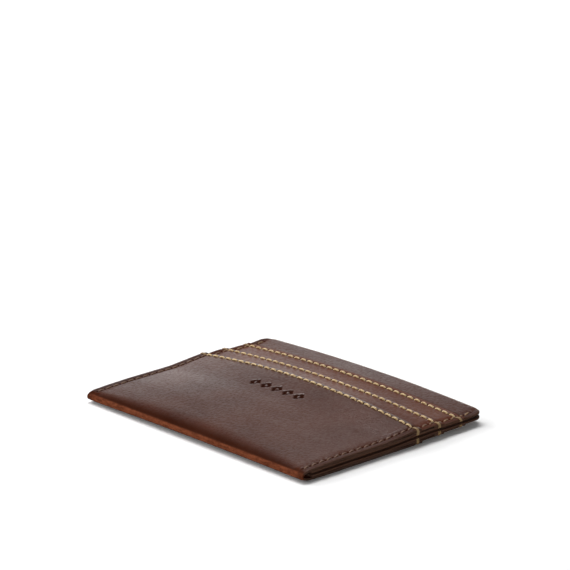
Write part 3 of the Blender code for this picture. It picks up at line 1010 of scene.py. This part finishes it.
def arch(half, name, start, end, lean, radius, browned=0.0):
    """One stitch from hole to hole, leaning across its line by lean at each end."""
    t = np.linspace(HOLE_SHARE, 1.0 - HOLE_SHARE, ARCH_POINTS)
    start, end = np.asarray(start), np.asarray(end)
    ahead = (end - start) / np.linalg.norm(end - start)
    across = np.array([-ahead[1], ahead[0]])
    plan = start + (end - start) * t[:, None] + across * (lean * (2 * t - 1))[:, None]
    rise = np.sin(math.pi * (t - HOLE_SHARE) / (1 - 2 * HOLE_SHARE))
    lift = np.clip(rise, 0.0, 1.0) ** ARCH_POWER
    height = -DIVE + (DIVE + stand_for(half, name) * (radius / THREAD_RADIUS) ** 2) * lift
    z = face_height(half, name, plan[:, 0], plan[:, 1], 1) + OUT[half] * height
    path = np.column_stack([plan, z])
    return strand(path, np.tile([0.0, 0.0, OUT[half]], (len(t), 1)), radius, browned)


# %% Corner loops
LOOP_SHIFT, LOOP_SHIFT_AT_HOLE = 0.36, 0.4
LOOP_RADIUS, LOOP_FLAT, LOOP_BROWNED = THREAD_RADIUS * 0.66, 0.85, 0.8
LOOP_POINTS, LOOP_EASING = 37, 10


def eased(knots):
    """A soft curve along a run of knots."""
    t = np.linspace(0, len(knots) - 1, LOOP_POINTS)
    path = np.column_stack([np.interp(t, range(len(knots)), column) for column in knots.T])
    for _ in range(LOOP_EASING):
        path[1:-1] = (path[:-2] + 2 * path[1:-1] + path[2:]) / 4
    return path


def corner_loops(half, name, line, hand):
    """Two turns of thread over the raw side, from the last hole into the gap between halves."""
    out, face = OUT[half], WIDTH / 2
    inner_x, here = LINE_HOLES[-1], (np.array([face]), np.array([line]))
    gap = float(face_height(half, "main_lining", *here, -1)[0])
    edge = float(face_height(half, name, *here, 1)[0])
    seam = float(face_height(half, name, np.array([inner_x]), here[1], 1)[0])
    stand = stand_for(half, name)
    # Out of the hole, over the leather, down the raw side and in at the gap
    knots = [
        (inner_x - 0.1, seam - out * DIVE),
        (inner_x + 0.3, seam + out * stand * 0.6),
        (inner_x + 0.9, (seam + edge) / 2 + out * stand),
        (face - 0.45, edge + out * (stand - 0.06)),
        (face - 0.05, edge - out * 0.16),
        (face + 0.12, edge - out * 0.5),
        (face + 0.14, (edge + gap) / 2),
        (face + 0.10, gap + out * 0.75),
        (face - 0.12, gap + out * 0.45),
        (face - 0.6, gap + out * 0.30),
    ]
    turns = []
    for shift in (-LOOP_SHIFT, LOOP_SHIFT):
        drift = np.linspace(LOOP_SHIFT_AT_HOLE, 1.0, len(knots)) * shift
        path = eased(np.array([(hand * a, line + d, b) for (a, b), d in zip(knots, drift)]))
        away = path - np.array([hand * (face - 2.5), line, gap])
        away[:, 1] = 0.0
        turns.append(strand(path, away, LOOP_RADIUS, LOOP_BROWNED, LOOP_FLAT))
    return turns


# %% Slot lines


def slot_line(half, pocket):
    """The stitching of one pocket mouth, with its corner loops."""
    name, line = CARRIERS[pocket], LINES[pocket]
    pairs = zip(LINE_HOLES[:-1], LINE_HOLES[1:])
    strands = [arch(half, name, (a, line), (b, line), LINE_LEAN, THREAD_RADIUS) for a, b in pairs]
    for hand in (-1.0, 1.0):
        strands += corner_loops(half, name, line, hand)
    node = f"{half}_slot_thread_{pocket}"
    thread_object(node + "_stitches", strands, GOLD_THREAD, "slot_thread", node)


# %% Side seams
SEAM_BROWNED, SEAM_BROWNED_AT_MOUTH = 0.85, 0.10


def top_sheet(y):
    """The sheet that shows at y."""
    for name in ("outer_wrap", "middle_slot_strip", "upper_slot_strip"):
        if y < SHEETS[name].head:
            return name
    return "body_panel"


def side_seam(half, hand_name, hand):
    """The stitches down one side of one face, browner towards the fold."""
    x, strands = hand * SEAM_X, []
    for a, b in zip(SEAM_HOLES[:-1], SEAM_HOLES[1:]):
        up = float(smooth(LINES["lower"], LINES["upper"], b))
        browned = SEAM_BROWNED + (SEAM_BROWNED_AT_MOUTH - SEAM_BROWNED) * up
        lean = hand * SEAM_LEAN
        stitch = arch(half, top_sheet(b), (x, a), (x, b), lean, SEAM_THREAD_RADIUS, browned)
        strands.append(stitch)
    node = f"{half}_seam_thread_{hand_name}"
    thread_object(node + "_stitches", strands, SEAM_THREAD, "seam_thread", node)


# %% Sewing both faces
for half in ("front", "back"):
    for pocket in LINES:
        slot_line(half, pocket)
    for hand_name, hand in (("left", -1.0), ("right", 1.0)):
        side_seam(half, hand_name, hand)

# %% [markdown]
# ## Table and light
# The holder lies on a seamless white table. A large soft light hangs high and behind it, and a lower
# one stands to the left, so shadows fall to the right. Two small ones lift the fold and the raw
# side out of the dark. A low glow behind is what the waxed leather mirrors at a glancing angle: that
# is its grey sheen, which fades wherever the leather leans away.

# %% Table
TABLE_SIZE = 3.0
# A hair under the holder, so that two flat faces never share a plane
TABLE_DROP = 0.00005


def table_material():
    """Matt white card with the faintest mottling."""
    material, tree, shader, place = start_material("white_card")
    mottle = add(tree, "TexNoise", {"Vector": place, "Scale": 0.05, "Detail": 2.0}, out="Fac")
    colour = add(tree, "Mix", {0: mottle, 6: "#F2F2F2", 7: "#F5F5F5"}, out=2, data_type="RGBA")
    tree.links.new(colour, shader.inputs["Base Color"])
    shader.inputs["Roughness"].default_value = 0.9
    shader.inputs["Specular IOR Level"].default_value = 0.1
    return material


reach = TABLE_SIZE / 2
corners = [(-reach, -reach, 0), (reach, -reach, 0), (reach, reach, 0), (-reach, reach, 0)]
table = bpy.data.meshes.new("table_top")
table.from_pydata(corners, [], [(0, 1, 2, 3)])
table.materials.append(table_material())
TABLE = bpy.data.objects.new("table_top", table)
TABLE.location.z = -TABLE_DROP
bpy.context.scene.collection.objects.link(TABLE)
print(f"table {TABLE_SIZE} m square")

# %% Lights
scene = bpy.context.scene
scene.view_settings.view_transform = "Standard"


def toward(turn, rise):
    """Unit vector at a turn from +X and a rise over the table, in degrees."""
    a, b = math.radians(turn), math.radians(rise)
    return Vector((math.cos(a) * math.cos(b), math.sin(a) * math.cos(b), math.sin(b)))


def soft_light(name, turn, rise, distance, size, power):
    """A soft light of this width and height, aimed at the holder."""
    lamp = bpy.data.lights.new(name, "AREA")
    lamp.shape, lamp.energy = "RECTANGLE", power
    lamp.size, lamp.size_y = size
    obj = bpy.data.objects.new(name, lamp)
    obj.location = toward(turn, rise) * distance
    obj.rotation_mode = "QUATERNION"
    obj.rotation_quaternion = (-toward(turn, rise)).to_track_quat("-Z", "Y")
    scene.collection.objects.link(obj)


soft_light("top_light", 156.0, 64.0, 1.3, (1.1, 0.45), 15.5)
soft_light("key_light", 196.0, 32.0, 1.3, (0.8, 0.4), 8.0)
soft_light("fold_light", 250.0, 26.0, 1.3, (0.7, 0.4), 4.0)
soft_light("edge_light", -30.0, 12.0, 1.4, (0.8, 0.3), 5.5)

# %% Studio glow
GLOW_TURN = 140.0
AMBIENT, GLOW = 0.13, 1.70

world = bpy.data.worlds.new("studio")
world.use_nodes = True
scene.world = world
sky = world.node_tree
direction = add(sky, "TexCoord", {}, out="Generated")
height = add(sky, "SeparateXYZ", {0: direction}, out="Z")
facing = add(sky, "VectorMath", {0: direction, 1: toward(GLOW_TURN, 0.0)}, out="Value",
             operation="DOT_PRODUCT")
side_share = add(sky, "MapRange", {"Value": facing, "From Min": 0.20, "From Max": 0.90},
                 interpolation_type="SMOOTHSTEP")
low_share = add(sky, "MapRange", {"Value": height, "From Min": 0.48, "From Max": 0.04},
                interpolation_type="SMOOTHSTEP")
glow = add(sky, "Math", {0: side_share, 1: low_share}, operation="MULTIPLY")
level = add(sky, "Math", {0: glow, 1: GLOW, 2: AMBIENT}, operation="MULTIPLY_ADD")
sky.links.new(level, sky.nodes["Background"].inputs["Color"])
print("the glow is", round((GLOW + AMBIENT) / AMBIENT), "times as bright as the rest of the studio")

# %% [markdown]
# ## Camera
# A long lens looks down at about twenty degrees from over the near corner, so the sides stay almost
# parallel. The camera aims a little above the holder, which sits low in the frame.

# %% Camera
AZIMUTH, ELEVATION = 47.02, 19.66
DISTANCE, LENS_MM = 1.1172, 223.3
LOOK_ABOVE, LOOK_RIGHT = 0.03868, 0.0013
ANCHOR = Vector((0.0, (38.0 + FOLD) * MM, 0.002))

lens = bpy.data.cameras.new("camera")
lens.lens, lens.sensor_width = LENS_MM, 36.0
lens.clip_start, lens.clip_end = 0.05, 20.0
camera = bpy.data.objects.new("camera", lens)
back = toward(AZIMUTH - 90.0, ELEVATION)
right = toward(AZIMUTH, 0.0)
camera.location = ANCHOR + back * DISTANCE
target = ANCHOR + back.cross(right) * LOOK_ABOVE + right * LOOK_RIGHT
camera.rotation_mode = "QUATERNION"
camera.rotation_quaternion = (target - camera.location).to_track_quat("-Z", "Y")
scene.collection.objects.link(camera)
scene.camera = camera
print(f"camera {DISTANCE:.2f} m away, behind a {LENS_MM:.0f} mm lens")
